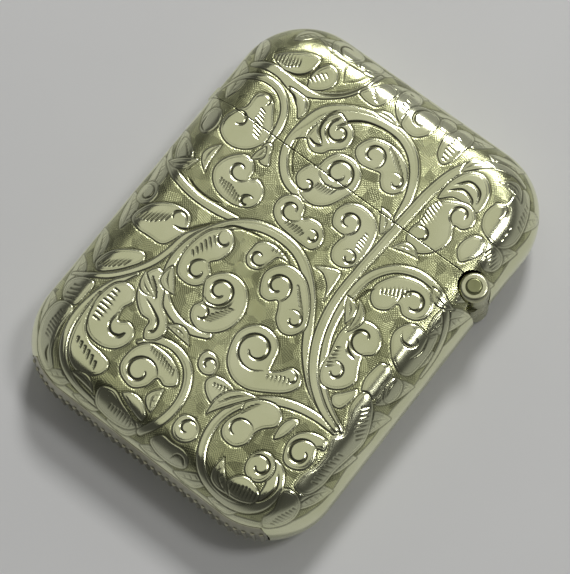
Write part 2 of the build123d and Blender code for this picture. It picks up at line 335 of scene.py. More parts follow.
petal([(-11.6, 15.7), (-10, 15.9), (-8.8, 15.6), (-8.4, 14.4), (-8.7, 13.4), (-9.6, 14.4)])
line([(-11.8, 15.4, .05), (-10.7, 15.2, .22), (-9.8, 14.6, .08)], .08)
line([(-9.6, 15.8, .05), (-8.9, 15.3, .2), (-8.6, 14.6, .05)], .07)
petal([(-13.9, 13), (-12.9, 13.8), (-11.8, 13.3), (-11, 12.2), (-10.1, 11), (-9.8, 9.4), (-10.4, 8),
    (-11.6, 7.1), (-13.1, 6.9), (-14.5, 7.6), (-15, 9), (-14.6, 10.4), (-13.9, 11.4)])
curl(-13.6, 9.7, -14.9, 9.8, .75, -1)
curl(-12.6, 12.9, -13.7, 12.8, .6, -1)
ticks(-12, 12, -10.8, 9.3, 8, 1.5, -14, 0.16)
petal([(-9.8, 9.2), (-9, 9.6), (-8.5, 8.6), (-7.9, 7.5), (-8.8, 7.2), (-9.5, 7.9)])

# The round scroll that the parting crosses
petal([(-6.9, 13), (-6.5, 15.2), (-5.6, 16.6), (-4.5, 16.4), (-3.2, 15.9), (-2.6, 14.8),
    (-2.8, 13.6), (-3.8, 12.7), (-4.3, 11.9), (-5.3, 11.5), (-6.3, 12)])
curl(-4.3, 14.8, -5.2, 15.9, 1.1, 1, .18)
line([(2.4, 17.3, .05), (0, 17.9, .14), (-2.4, 17.5, .22), (-4, 16.5, .25),
    (-4.9, 15.2, .08)], .085)
line([(-5.7, 17, .05), (-6.4, 15.5, .22), (-6.2, 13.9, .25), (-5, 12.8, .08)], .085)
line([(-5, 16.6, .05), (-5.6, 15.2, .2), (-5.3, 14, .2), (-4.2, 13.2, .05)], .08)
line([(-6.6, 12.6, .05), (-5.6, 12.3, .25), (-4.8, 12.7, .05)], .085)
petal([(-1.9, 15), (-1.2, 16.4), (.3, 17), (2, 16.9), (3.5, 16.2), (4.6, 15), (4.9, 13.7),
    (4.2, 12.7), (3.1, 12.5), (2.3, 13.1), (1.8, 13.8), (.9, 13.6), (-.5, 13.4), (-1.6, 14)])
curl(.1, 15, 1, 13.7, .95, 1, .17)
curl(3.7, 14, 2.8, 14.6, .8, -1)
ticks(1.2, 16.5, 3.9, 14.8, 9, 1.2, -60, 0.15)
petal([(.5, 9.4), (.9, 11), (.5, 12.4), (-.5, 13.2), (-1.8, 13.4), (-3.1, 12.9), (-3.7, 11.8),
    (-3.9, 10.7), (-4.8, 10), (-5.1, 8.8), (-4.6, 7.9), (-3.2, 7), (-1.6, 6.9), (-.3, 7.8)])
curl(-1.6, 11.3, -3.7, 10.9, 1.5, 1, .17)
curl(-3.6, 8.4, -4.6, 7.9, .75, 1, .18)
ticks(-2.7, 8.7, -.9, 9.1, 7, 1.3, -105, 0.15)
line([(-7.4, 12.6, .05), (-6.9, 10.4, .16), (-5.9, 8.9, .16), (-5, 8, .05)], .06)

# Lid, hinge side
petal([(8.2, 15.2), (8.1, 17.4), (9, 19.4), (10.6, 20.1), (12.1, 19.1), (12.6, 17.4), (12.3, 16.2),
    (11, 16.4), (9.4, 16.2)])
line([(8.7, 17.4, .05), (9.9, 18.6, .24), (11.3, 18.3, .22), (11.9, 17, .05)], .085)
line([(8.5, 16.5, .05), (9.8, 17.5, .22), (11.1, 17.2, .18), (11.5, 16.6, .05)], .085)
petal([(12.6, 16), (12.9, 14.9), (12.3, 14), (11.4, 13.8), (12, 12.5), (11.8, 11), (10.9, 9.7),
    (9.6, 9.1), (8.3, 9.7), (7.9, 11), (8.2, 12.4), (8, 13.8), (8.6, 15.2), (9.8, 16.1),
    (11.3, 16.6)])
curl(11.3, 15.2, 11.5, 13.8, .8, -1, .18)
curl(9.2, 11, 8, 11.2, .7, -1)
ticks(8.9, 15, 8.8, 12.2, 8, 1.5, -20, 0.15)
petal([(13.2, 18.2), (13, 16.8), (13.6, 15.5), (14.6, 14.9), (15.8, 14.7), (17, 15.2), (17.7, 16.4),
    (17.6, 18), (17, 19.8), (16, 21.6), (14.9, 22), (14.3, 20.8), (14.3, 19.3), (13.9, 18.8)])
line([(14.3, 19, .05), (14.8, 18.7, .22), (15, 17.9, .18), (14.7, 17.3, .05)], .07)
ticks(16.3, 20.4, 17.1, 17.8, 6, 1, -20)
ticks(16.1, 17.3, 16.2, 15.9, 3, .7, 80)
petal([(13.1, 12), (13, 13.2), (13.6, 14.3), (14.6, 14.6), (15.5, 14), (15.4, 12.9), (14.9, 11.9),
    (14.1, 11.1)])
petal([(15.2, 14.5), (16.2, 14.8), (17.4, 14.6), (18, 13.7), (17.7, 12.7), (16.7, 12.1),
    (15.7, 12.4), (15.5, 13.4)])
ticks(15.8, 13.9, 17.5, 13.3, 6, 1.3, 75)
petal([(-5.3, 19.6), (-3.2, 19.3), (-2.3, 20.4), (-2.1, 22), (-3.4, 22.6), (-4.4, 21.4)])
ticks(-4.2, 20.9, -3, 19.9, 5, 1, -8)
petal([(-1.9, 22.2), (-1.4, 20.6), (-.3, 19.6), (.8, 19.5), (.4, 21), (.6, 22.6), (0, 24),
    (-1.4, 24)])
ticks(-.8, 23.2, -.2, 20.8, 5, .9, -10)
petal([(.4, 19.3), (2, 19), (3.1, 19.8), (3.6, 21.2), (3.3, 22.4), (2.2, 23), (.9, 22.8),
    (.1, 21.9), (0, 20.4)])
curl(1.9, 21.1, 2.4, 22.8, .6, 1, .17)
petal([(4.7, 21.6), (4.8, 20.2), (5.3, 19), (6.3, 18.4), (7, 19.2), (7.3, 20.6), (7.5, 22),
    (7.1, 23.4), (6.1, 23.8), (5.2, 23)])
ticks(6.2, 21.8, 6.4, 19, 7, 1.1, -12, 0.15)
petal([(3.2, 22.6), (3.5, 23.4), (4.3, 23.7), (5, 23.2), (5.2, 22.4), (4.6, 21.7), (3.7, 21.7)])

# Body, upper part
petal([(.6, 7.8), (1, 9.1), (2.3, 9.9), (4, 9.8), (5.3, 8.9), (5.9, 7.3), (6, 5.5), (5.7, 4),
    (4.7, 3.3), (3.5, 3.4), (2.8, 4.4), (2.8, 5.6), (3, 6.2), (2.2, 6.2), (1.2, 6.5)])
curl(2.5, 7.7, 2.6, 6.2, 1.05, 1, .17)
curl(4.8, 4.6, 3.9, 5, .95, -1)
ticks(5, 7.7, 5.3, 5.9, 6, 1.1, -10)
petal([(-12.4, 4.4), (-12, 5.8), (-11, 6.9), (-9.8, 7.1), (-8.8, 6.2), (-8.6, 5.3), (-7.8, 5.7),
    (-6.7, 5.2), (-6.2, 4.1), (-6.5, 2.9), (-7.5, 2.2), (-9, 1.9), (-10.8, 2.2), (-12, 3.2)])
curl(-10, 5.4, -8.6, 5.2, .85, -1)
curl(-7.4, 3, -7, 3.8, .7, 1, .2)
ticks(-10.9, 3.2, -8.3, 2.6, 9, 1.2, -75, 0.15)
petal([(-4.9, 5), (-4.5, 6.2), (-3.3, 6.8), (-2.1, 6.2), (-1.6, 5.2), (-.9, 5.7), (.3, 5.8),
    (1.3, 5.1), (1.7, 4), (1.3, 3), (.2, 2.8), (-1.4, 2.9), (-3.2, 3.1), (-4.4, 3.8)])
curl(-3, 5.2, -1.6, 5, .95, -1)
curl(.4, 4.1, -.3, 4.6, .8, -1)
ticks(-2.7, 3.7, -.7, 3.6, 7, 1, -110)
line([(-14, 1.6, .05), (-12.2, 1, .25), (-10.4, 1, .2), (-9.3, 1.4, .05)], .08)
petal([(-17.8, 5), (-16.4, 4.9), (-15, 3.9), (-14.4, 2.3), (-15.6, 2), (-17, 3.2)])
ticks(-16.4, 4.2, -14.9, 3, 5, 1.1, -50)
petal([(2.6, 1.8), (3.7, 1.7), (4.9, .8), (5.6, -.6), (5.5, 1.2), (5.2, 2.9), (4, 2.7)])

# The round scroll left of the middle
petal([(-9, -3.2), (-8.3, -1.4), (-7, -.4), (-5.9, -.8), (-5.3, -1.9), (-5.5, -3.4), (-6.2, -4.4),
    (-5.4, -5.2), (-5.2, -6.2), (-5.8, -7.2), (-7, -7.6), (-8.4, -7.2), (-9.1, -5.4)])
curl(-6.4, -1.5, -7.4, -1, .6, 1)
curl(-6.7, -5.8, -6.1, -4.5, .9, 1)
ticks(-8.2, -4.7, -7.2, -2.3, 6, 1.3, -45, 0.17)
line([(-7.7, -.9, .05), (-6.8, .1, .2), (-5.2, .7, .22), (-3.4, 1, .05)], .08)
petal([(-5.5, -6), (-4.9, -4.7), (-3.6, -3.9), (-2, -4), (-.7, -5), (0, -6.7), (-.2, -8.6),
    (-1.2, -10), (-2.7, -10.7), (-4.2, -10.2), (-4.8, -9), (-4.4, -8), (-4.8, -7.4)])
line([(-4.5, -8, .05), (-3.3, -8.1, .16), (-2, -7.2, .16), (-1.7, -6, .05)], .07)
curl(-3.5, -6.1, -4.7, -7.5, 1.3, 1, .18)
curl(-3.6, -9.2, -4.6, -8.6, .7, -1)
ticks(-1.3, -6.9, -2.4, -9.2, 8, 1.3, 25, 0.17)
petal([(-3.8, -.6), (-3.6, .5), (-2.4, 1.1), (-.9, 1), (.3, .5), (-.9, .3), (-1.3, -.8), (-1.8, -2),
    (-2.9, -2.3), (-3.7, -1.6)])
curl(-2.6, -.9, -1.5, -.7, .9, -1)
ticks(-1.9, .5, -.6, .8, 4, .7, -80)
petal([(-1.1, -2), (-.7, -.6), (.6, .4), (2.4, .3), (4, -.8), (5.3, -2.5), (5.9, -4.1), (5.3, -5.4),
    (4.1, -5.8), (2.9, -5.1), (2.3, -4), (1.8, -3.4), (1, -4), (-.2, -3.8)])
curl(.9, -2.1, 1.9, -3.5, 1.05, 1, .18)
curl(4.4, -4, 3.4, -3.4, .9, -1)
ticks(2.8, -1, 4.8, -3, 7, 1.1, -30)

# Left side of the body
petal([(-17.3, 8.2), (-16.9, 9.4), (-15.9, 9.6), (-15.2, 8.8), (-15, 7.5), (-15.6, 6.4),
    (-16.7, 6.7)])
line([(-15.7, 6.5, .05), (-16.7, 7.1, .2), (-16.9, 8.3, .05)], .08)
petal([(-17.9, -1.8), (-17.2, -.9), (-16, -.9), (-15.2, -1.9), (-15.4, -3.1), (-16.5, -3.6),
    (-17.6, -3)])
curl(-16.5, -2.3, -17.3, -1.4, .8, -1)
petal([(-16, -5.2), (-15.5, -3.4), (-14, -2), (-12.3, -1.4), (-11, -1.6), (-10.4, -2.8),
    (-10.6, -4.4), (-11.4, -5.8), (-13.2, -6), (-14.8, -6)])
curl(-12, -2.6, -10.8, -2.8, .65, 1)
ticks(-15.3, -4.6, -12.7, -2.9, 8, 1.6, 78, 0.16)
line([(-11.9, -3.5, .05), (-10.6, -3.2, .25), (-9.6, -2.1, .3), (-8.6, -.7, .05)], .09)
petal([(-15.9, -11.2), (-15.4, -9.6), (-14, -8.3), (-12.4, -7.6), (-11.8, -8.4), (-12.6, -9.8),
    (-13.8, -11.2), (-15, -12)])
ticks(-15.2, -11, -13, -9.3, 7, 1.5, 70, 0.17)
petal([(-14.4, -13.2), (-14.2, -14.8), (-14.4, -16.2), (-15.5, -16.6), (-16.8, -15.8),
    (-17.1, -14.4), (-16, -13.4)])
ticks(-15.6, -14.4, -15.4, -16, 4, 1.4, 12, 0.2)
petal([(-14.3, -16.8), (-14.2, -19), (-13.5, -21.2), (-12.4, -22.8), (-13.4, -23.7), (-15.2, -22.6),
    (-16.5, -20.6), (-16.9, -18.6), (-16.5, -17), (-15.4, -16.4)])
ticks(-15, -17.6, -14.8, -20.4, 8, 1.1, -10, 0.16)
line([(-14.2, -21, .05), (-14, -22, .25), (-13.2, -22.8, .05)], .08)

# Lower left scrolls
petal([(-12.8, -12.2), (-13.2, -14.4), (-12.9, -16.5), (-11.6, -17.8), (-9.9, -18.1), (-8.3, -17.5),
    (-7.5, -16.2), (-7.7, -14.9), (-8.8, -14.3), (-9.9, -14.8), (-10.3, -13.6), (-9.9, -12.4),
    (-10.6, -11.3), (-11.8, -11.2)])
line([(-10.4, -14.2, .08), (-10.4, -15.6, .16), (-9.7, -16.3, .22), (-8.8, -16.1, .26),
    (-8.5, -15.5, .1)], .09)
ticks(-11.9, -12.4, -11.7, -16, 8, 1.3, 0, .18)
petal([(-13.3, -13.6), (-13.4, -16), (-13, -18.6), (-12, -20.5), (-10.3, -21.5), (-8.6, -21.2),
    (-7.6, -20.1), (-7.8, -18.9), (-9.2, -18.5), (-10.8, -18.3), (-12.2, -17.3), (-13, -15.4)])
ticks(-11.9, -19, -8.8, -20.1, 6, 1, -65, .24)
petal([(-10.8, -9), (-10.2, -8), (-9.1, -8.2), (-8.2, -9.4), (-7.3, -10.8), (-5.9, -11.8),
    (-5.2, -12.9), (-5.5, -14.1), (-6.5, -14.8), (-7.2, -14), (-7.4, -13), (-8.6, -12.9),
    (-10, -11.8), (-10.7, -10.4)])
line([(-9.3, -11.2, .05), (-7.8, -11.8, .16), (-6.6, -12.5, .2), (-6.3, -13.5, .2),
    (-6.7, -13.9, .08)], .08)
ticks(-9.8, -9.4, -8.4, -10.6, 6, 1.2, -62, 0.15)
petal([(-7, -17.6), (-6.8, -16), (-5.9, -14.8), (-4.4, -14.5), (-2.8, -14.7), (-1.4, -15.5),
    (-.8, -16.6), (-1.8, -17.4), (-2.8, -17.2), (-3.2, -18.5), (-4.3, -19.5), (-5.8, -19.3),
    (-6.7, -18.6)])
curl(-4.8, -17.7, -2.9, -17.2, 1.05, 1, .18)
ticks(-5.2, -15.2, -1.9, -15.9, 10, 1, -65, 0.16)
petal([(-7, -21.4), (-5.6, -20.7), (-4, -21.3), (-2.6, -21.8), (-1.5, -22.4), (-2.4, -23.4),
    (-4.4, -23.7), (-6.4, -23.2)])
ticks(-5, -22.4, -2.2, -22.8, 8, 1, -95)
petal([(-4.8, -20.5), (-3.8, -19.8), (-2.6, -19.9), (-1.4, -20.8), (-1.4, -21.6), (-2.6, -21.4),
    (-3.8, -21)])

# Middle and lower right
petal([(.6, -8.8), (1.1, -7.2), (2.4, -6.3), (4, -6.4), (5.1, -7.3), (5.5, -8.7), (5.8, -9.6),
    (6.6, -9), (7.4, -8), (8.6, -8.1), (9.2, -9.1), (8.6, -10.4), (7, -11.6), (5, -12.6),
    (3, -12.5), (1.4, -11.2)])
curl(3.3, -8.7, 5.3, -10, 1.3, -1, .19)
ticks(6, -10.4, 8, -9.6, 6, 1, -65)
curl(7.9, -9, 7, -8.5, .7, -1, .12)
petal([(-.9, -12.6), (-.6, -11.8), (.4, -11.7), (1.3, -12.4), (1.4, -13.5), (.5, -14),
    (-.5, -13.6)])
curl(.4, -12.9, 1.3, -13.3, .8, 1)
petal([(1.2, -14.4), (1.6, -13.4), (2.8, -13.1), (4, -13.3), (5.1, -14.1), (4.6, -15.3),
    (3.3, -15.9), (2, -15.4)])
ticks(2.2, -14.3, 4, -14.1, 6, .9, -75, .14)
petal([(1.5, -18.6), (2.6, -18.1), (3.8, -18.6), (4.2, -19.8), (3.4, -20.8), (2.2, -20.9),
    (1.4, -20)])
curl(2.8, -19.4, 4, -19.2, .8, 1)
petal([(1.2, -21.4), (2.4, -21.4), (4, -21.3), (5, -21.9), (5, -22.9), (3.6, -23.5), (1.6, -23.4),
    (.4, -22.6)])
line([(3.2, -22.9, .05), (3.6, -22.1, .16), (4.4, -22.1, .16), (4.9, -22.8, .05)], .07)
petal([(5.5, -16), (6, -14.6), (5.8, -13.6), (6.9, -12.5), (8.5, -12), (9.7, -12.6), (9.9, -13.8),
    (9, -14.8), (8.6, -15.7), (8.6, -17), (7.7, -18), (6.3, -18), (5.5, -17.2)])
curl(7, -16.4, 8.6, -15.8, .7, 1, .12)
ticks(6.3, -14.6, 7.1, -13, 6, .9, 40)
petal([(11.7, -14.4), (12, -13), (13.2, -12), (14.8, -11.8), (15.3, -12.8), (14.6, -13.2),
    (15.1, -14.3), (14.8, -15.6), (13.6, -16.3), (12.4, -16)])
curl(13.5, -14.5, 14.7, -13.2, 1, 1, .2)
petal([(9.6, -18), (10, -16.8), (11.1, -16.3), (12.2, -16.9), (12.6, -18), (12.2, -19.2),
    (11.1, -19.7), (10, -19.2)])
curl(11.1, -18, 9.7, -17.9, .9, -1, .18)
line([(12.9, -17.2, .05), (13.7, -18.8, .2), (13.3, -20.6, .2), (11.8, -21.8, .05)], .08)
petal([(9.2, -22), (9.6, -20.4), (10.6, -19.6), (11.8, -19.7), (12.9, -20.4), (12.7, -21.5),
    (11, -22.2)])
ticks(10, -21.4, 12.6, -20.9, 8, 1.1, -78, 0.16)
petal([(10.4, -12.4), (11.3, -11.9), (11.4, -12.9), (11.1, -14.2), (10.4, -15), (10.1, -13.6)])
petal([(14.3, -18.4), (15.6, -17.9), (16.9, -18.6), (17.3, -20.2), (16.6, -21.8), (15.3, -22.9),
    (14.5, -22), (14.8, -20.4)])
ticks(16.6, -19.2, 15.9, -21.9, 8, .9, 10)

# Hinge side of the body
petal([(8.8, 4.4), (9.9, 6.1), (11.9, 7), (13.7, 6.8), (14.9, 5.8), (15.1, 4.5), (14.3, 3.4),
    (12.9, 3.1), (11.9, 3.7), (11.4, 2.6), (10.3, 2), (9.3, 2.4), (8.8, 3.3)])
curl(13.1, 4.7, 11.8, 3.6, .9, -1, .2)
ticks(9.6, 4, 12, 5.6, 8, 1.1, 115, .18)
line([(9, 3.8, .05), (8.2, 2.2, .28), (8, 0, .05)], .09)
petal([(13.4, 2), (13.3, .8), (14, -.4), (15.1, -1.4), (16.4, -1.8), (17.5, -1.2), (17.8, .4),
    (17.7, 2.4), (17.1, 3.9), (16.3, 3.2), (15.4, 3.2), (14.2, 3)])
curl(15.3, 1.8, 13.9, 1.9, .6, 1)
line([(16.4, 3, .05), (16.8, 1.4, .16), (16.3, 0, .05)], .07)
petal([(8.9, -2.3), (9.2, -.7), (10.3, .4), (11.8, .5), (13, -.5), (13.2, -1.9), (12.4, -2.8),
    (12.8, -4), (13.4, -5.2), (13, -6.5), (11.9, -7.4), (10.6, -7.5), (9.7, -6.4), (9.4, -4.6)])
curl(11.3, -1.3, 12.5, -2.6, .75, -1, .2)
line([(10, -2.1, .05), (10.8, -3.2, .25), (12, -3.5, .05)], .08)
curl(11, -5.7, 10.1, -4.9, .8, -1)
ticks(9.9, -3.4, 10.4, -5.4, 6, 1.1, 40)
petal([(12.9, -7), (14, -5.8), (14.3, -6.8), (13.9, -8.4), (12.9, -8.6), (12.3, -7.8)])
petal([(13.9, -3.4), (14.2, -2.2), (15.2, -1.9), (16, -2.6), (16, -4), (16.1, -5.2), (15.4, -6.1),
    (14.4, -5.7), (13.9, -4.6)])
petal([(16.3, -2.4), (17.4, -2.3), (18, -3.4), (17.6, -4.8), (16.6, -4.9), (16.1, -3.6)])
line([(16.6, -2.6, .05), (16.5, -3.6, .16), (16.8, -4.4, .05)], .07)
petal([(14.6, -5.6), (16, -5.8), (17.3, -7.4), (18.2, -9.4), (17.9, -11.6), (17.5, -13.6),
    (17.4, -15.6), (16.6, -17.3), (15.1, -17.6), (14.9, -16), (15.5, -14.4), (15.5, -12.8),
    (14.9, -11.2), (15.6, -10.2), (15.2, -9), (14.4, -7.4)])
ticks(15.9, -6.6, 17.5, -9.4, 8, 1.5, 50, 0.16)
ticks(16.9, -12, 16.6, -15.8, 8, 1.1, 20, 0.16)

# Small leaves that spring from the stems into the open ground
leaf(-9.1, -7, -7, -9.3, 1.5, -0.2, 0)
leaf(7.3, 1.4, 8.8, -1.2, 1.3, 0.15, 0)
leaf(5.9, 8.6, 4.2, 11, 1.5, -0.2, 3)
leaf(-5.6, -12.2, -2.4, -12.6, 1.2, 0.15, 4)
leaf(6.4, -12.6, 3.4, -17.2, 1.5, -0.15, 5)
leaf(-8.4, -10.6, -11, -9, 1.2, 0.2, 0)
leaf(8.4, 19, 10.9, 21.3, 1.3, 0.2, 0)
leaf(-17, 1.9, -14.2, 3.8, 1.4, -0.15, 3)
leaf(-9.4, 9, -9.9, 7, 1, 0.1, 0)
leaf(10.2, -22.2, 7.6, -19.4, 1.6, 0.2, 4)
leaf(-1.2, -20.4, -1.6, -17.6, 1.4, 0.2, 3)
leaf(-10.4, -21.9, -7.2, -22.4, 1, 0.15, 0)
leaf(13.6, 7.3, 16.8, 6.9, 1.3, -0.15, 4)
leaf(-2.8, 18.9, .4, 19, .9, 0.1, 0)
leaf(-14.6, 20.4, -12.2, 23, 1.9, 0.2, 4)
leaf(12.4, 20.6, 15.4, 20.2, 1.4, 0.25, 4)
leaf(7.6, 8.2, 10.6, 8.8, 1.1, 0.2, 3)
leaf(-13.3, 6.4, -12.8, 3, 1.2, -0.2, 3)
leaf(9.4, -1.6, 8.4, 1.8, 1, -0.2, 0)

# --- materials ------------------------------------------------------------------------
SILVER_LIGHT = (0.85, 0.862, 0.61, 1)
SILVER_WARM = (0.75, 0.766, 0.51, 1)
GROUND_TINT = (0.99, 1.0, 0.84, 1)
# Tarnish in the cuts. The same dark is painted as shade down the cut edges.
TARNISH_AND_SHADE = (0.10, 0.098, 0.05, 1)
# The ground's hatching: patches per millimetre, how dark and light their colour is, and the gaps
# between the lines in millimetres. Depths are in metres. The ground's colour is tarnish, and each
# patch's own light or dark is a painted reflection of the way its ruling catches the light.
PATCHES = 0.85
DARK_PATCH, LIGHT_PATCH = 0.34, 0.76
RULED_GAP, CROSSED_GAP = 0.2, 0.23
HATCH_DEPTH = 0.0000036
CHIP_DEPTH = 0.00001
WAVE_DEPTH = 0.000006
# How fast a cut darkens with its depth in millimetres.
CUT_DARKENING = 17.0
FINE_SCRATCH, WORN_SCRATCH = 0.000004, 0.000008


class Shader:
    """A material under construction, with short calls for its nodes."""

    def __init__(self, name):
        self.material = bpy.data.materials.new(name)
        self.material.use_nodes = True
        self.tree = self.material.node_tree
        self.surface = self.tree.nodes["Principled BSDF"]

    def plug(self, socket, value):
        if isinstance(value, bpy.types.NodeSocket):
            self.tree.links.new(value, socket)
        else:
            socket.default_value = value

    def set(self, node, **values):
        for key, value in values.items():
            self.plug(node.inputs[key.replace("_", " ")], value)
        return node

    def attribute(self, name):
        node = self.tree.nodes.new("ShaderNodeAttribute")
        node.attribute_name = name
        return node

    def coordinates(self):
        return self.tree.nodes.new("ShaderNodeTexCoord").outputs["Object"]

    def math(self, operation, a, b=0.0, clamp=False):
        node = self.tree.nodes.new("ShaderNodeMath")
        node.operation = operation
        node.use_clamp = clamp
        for socket, value in zip(node.inputs, (a, b)):
            self.plug(socket, value)
        return node.outputs[0]

    def noise(self, vector, scale, detail=4.0, roughness=0.55):
        node = self.tree.nodes.new("ShaderNodeTexNoise")
        self.set(node, Vector=vector, Scale=scale, Detail=detail, Roughness=roughness)
        return node.outputs["Fac"]

    def ramp(self, value, *stops):
        node = self.tree.nodes.new("ShaderNodeValToRGB")
        self.set(node, Fac=value)
        while len(node.color_ramp.elements) < len(stops):
            node.color_ramp.elements.new(1.0)
        for element, (place, tint) in zip(node.color_ramp.elements, stops):
            element.position = place
            element.color = tint if isinstance(tint, tuple) else (tint, tint, tint, 1)
        return node.outputs["Color"]

    def mix(self, fac, a, b, blend="MIX"):
        node = self.tree.nodes.new("ShaderNodeMix")
        node.data_type = "RGBA"
        node.blend_type = blend
        for socket, value in zip((node.inputs[0], node.inputs[6], node.inputs[7]), (fac, a, b)):
            self.plug(socket, value)
        return node.outputs[2]

    def span(self, value, low, high):
        node = self.tree.nodes.new("ShaderNodeMapRange")
        self.set(node, Value=value, To_Min=low, To_Max=high)
        return node.outputs[0]

    def bump(self, height, distance, strength=1.0, over=None):
        node = self.tree.nodes.new("ShaderNodeBump")
        self.set(node, Height=height, Distance=distance, Strength=strength)
        if over is not None:
            self.set(node, Normal=over)
        return node.outputs["Normal"]


def make_engraved_silver():
    s = Shader("engraved_silver")
    polished = s.attribute("polish").outputs["Fac"]
    cut_in = s.attribute("cut").outputs["Fac"]
    unrolled = s.attribute("unrolled").outputs["Vector"]
    ground = s.math("SUBTRACT", 1.0, polished, clamp=True)

    # Patches of fine ruled hatching fill the ground, each ruled its own way.
    patches = s.tree.nodes.new("ShaderNodeTexVoronoi")
    s.set(patches, Vector=unrolled, Scale=PATCHES)
    parts = s.tree.nodes.new("ShaderNodeSeparateColor")
    s.set(parts, Color=patches.outputs["Color"])
    turned = s.tree.nodes.new("ShaderNodeVectorRotate")
    turned.rotation_type = "Z_AXIS"
    s.set(turned, Vector=unrolled, Angle=s.math("MULTIPLY", parts.outputs[0], math.pi))
    axes = s.tree.nodes.new("ShaderNodeSeparateXYZ")
    s.set(axes, Vector=turned.outputs[0])
    ruled = s.math("SINE", s.math("MULTIPLY", axes.outputs[0], 2 * math.pi / RULED_GAP))
    crossed = s.math("SINE", s.math("MULTIPLY", axes.outputs[1], 2 * math.pi / CROSSED_GAP))
    weave = s.math("ADD", ruled, s.math("MULTIPLY", crossed, parts.outputs[1]))
    hatch = s.math("MULTIPLY", weave, s.math("POWER", ground, 4.0))

    where = s.coordinates()
    smudge = s.noise(where, 160.0)
    grain = s.noise(unrolled, 3.0, 6.0, 0.7)
    tone = s.mix(s.ramp(smudge, (0.35, 0.0), (0.65, 1.0)), SILVER_WARM, SILVER_LIGHT)
    # Each patch's light or dark is painted reflection, as its ruling would catch the light; the
    # hatch lines add a light and dark pattern.
    painted_patch_sheen = s.span(parts.outputs[2], DARK_PATCH, LIGHT_PATCH)
    sheen_and_hatch_tone = s.math("ADD", painted_patch_sheen, s.math("MULTIPLY", weave, 0.09))
    worked = s.mix(1.0, s.mix(1.0, tone, sheen_and_hatch_tone, "MULTIPLY"), GROUND_TINT, "MULTIPLY")
    dulled_with_sheen = s.mix(ground, tone, worked)
    # Cuts darken with tarnish as they deepen, and the cut edges darken with painted shade.
    tarnish_and_rim_shade = s.math("MULTIPLY", cut_in, CUT_DARKENING, clamp=True)
    colour = s.mix(s.math("MULTIPLY", tarnish_and_rim_shade, 0.9), dulled_with_sheen, TARNISH_AND_SHADE)
    rough = s.math("ADD", s.span(smudge, 0.12, 0.2), s.math("MULTIPLY", ground, 0.11))
    rough = s.math("ADD", rough, s.math("MULTIPLY", tarnish_and_rim_shade, 0.08))
    chipped = s.math("MULTIPLY", s.noise(unrolled, 3.0, 3.0, 0.6), ground)
    chips = s.bump(chipped, CHIP_DEPTH, 0.8)
    waves = s.bump(grain, WAVE_DEPTH, 0.5, chips)
    s.set(s.surface, Base_Color=colour, Roughness=rough, Metallic=1.0)
    s.set(s.surface, Normal=s.bump(hatch, HATCH_DEPTH, 1.0, waves))
    return s.material


def make_plain_metal(name, light, warm, rough, scratch=FINE_SCRATCH):
    light, warm = (*light, 1), (*warm, 1)
    s = Shader(name)
    where = s.coordinates()
    smudge = s.noise(where, 220.0)
    fine = s.noise(where, 2600.0, 5.0, 0.7)
    colour = s.mix(s.ramp(smudge, (0.35, 0.0), (0.65, 1.0)), warm, light)
    s.set(s.surface, Base_Color=colour, Metallic=1.0)
    s.set(s.surface, Roughness=s.span(smudge, rough * 0.8, rough * 1.3))
    s.set(s.surface, Normal=s.bump(fine, scratch, 0.5))
    return s.material


def make_floor():
    s = Shader("studio_floor")
    speckle = s.noise(s.coordinates(), 40.0)
    colour = s.mix(speckle, (0.70, 0.70, 0.69, 1), (0.74, 0.74, 0.73, 1))
    s.set(s.surface, Base_Color=colour, Roughness=0.65)
    return s.material


engraved_silver = make_engraved_silver()
plain_silver = make_plain_metal("plain_silver", SILVER_LIGHT[:3], SILVER_WARM[:3], 0.24)
# The striker's silver is darker all over than the case's: tarnish, and painted shade for the dark
# between its ribs.
striker_silver = make_plain_metal("striker_silver", (0.46, 0.45, 0.36), (0.33, 0.32, 0.24), 0.3)
hinge_silver = make_plain_metal(
    "hinge_silver", (0.66, 0.665, 0.46), (0.4, 0.4, 0.24), 0.26, WORN_SCRATCH
)
# The pin's plugs are coloured near black, as painted shade of a hollow at the pin's end.
plug_silver_painted_shade = make_plain_metal(
    "plug_silver_painted_shade", (0.27, 0.28, 0.15), (0.17, 0.175, 0.085), 0.3, WORN_SCRATCH
)
gilt_silver = make_plain_metal("gilt_silver", (0.86, 0.64, 0.27), (0.78, 0.55, 0.22), 0.34)
pin_metal = make_plain_metal("pin_metal", (0.72, 0.58, 0.36), (0.6, 0.47, 0.28), 0.4)
spring_metal = make_plain_metal("spring_metal", (0.6, 0.58, 0.54), (0.5, 0.47, 0.43), 0.35)

# --- the dished shells ----------------------------------------------------------------
# The cut edges are painted darker inwards, as painted shade in the gaps they face, as dark as a cut
# of this depth is.
RIM_PAINTED_SHADE = 0.045
# The mesh's pitch, and how many cells of it make one side of a block on the plain inside.
PITCH = 0.08
BLOCK = 4
EPS = 1e-6


def spaced(stops):
    """Evenly spaced values that include every stop."""
    runs = []
    for a, b in zip(stops, stops[1:]):
        runs.append(np.linspace(a, b, max(1, round((b - a) / PITCH)), endpoint=False))
    return np.append(np.concatenate(runs), stops[-1])


def surface(foot, way, s):
    """Place, normal and unrolled place of points a distance s past the flat's edge."""
    turn = np.minimum(s, QUARTER) / SHOULDER
    drop = np.maximum(s - QUARTER, 0)
    out = SHOULDER * np.sin(turn)
    z = THICK - SHOULDER * (1 - np.cos(turn)) - drop
    place = np.column_stack([foot + way * out[:, None], z])
    normal = np.column_stack([way * np.sin(turn)[:, None], np.cos(turn)])
    return place, normal, foot + way * s[:, None]


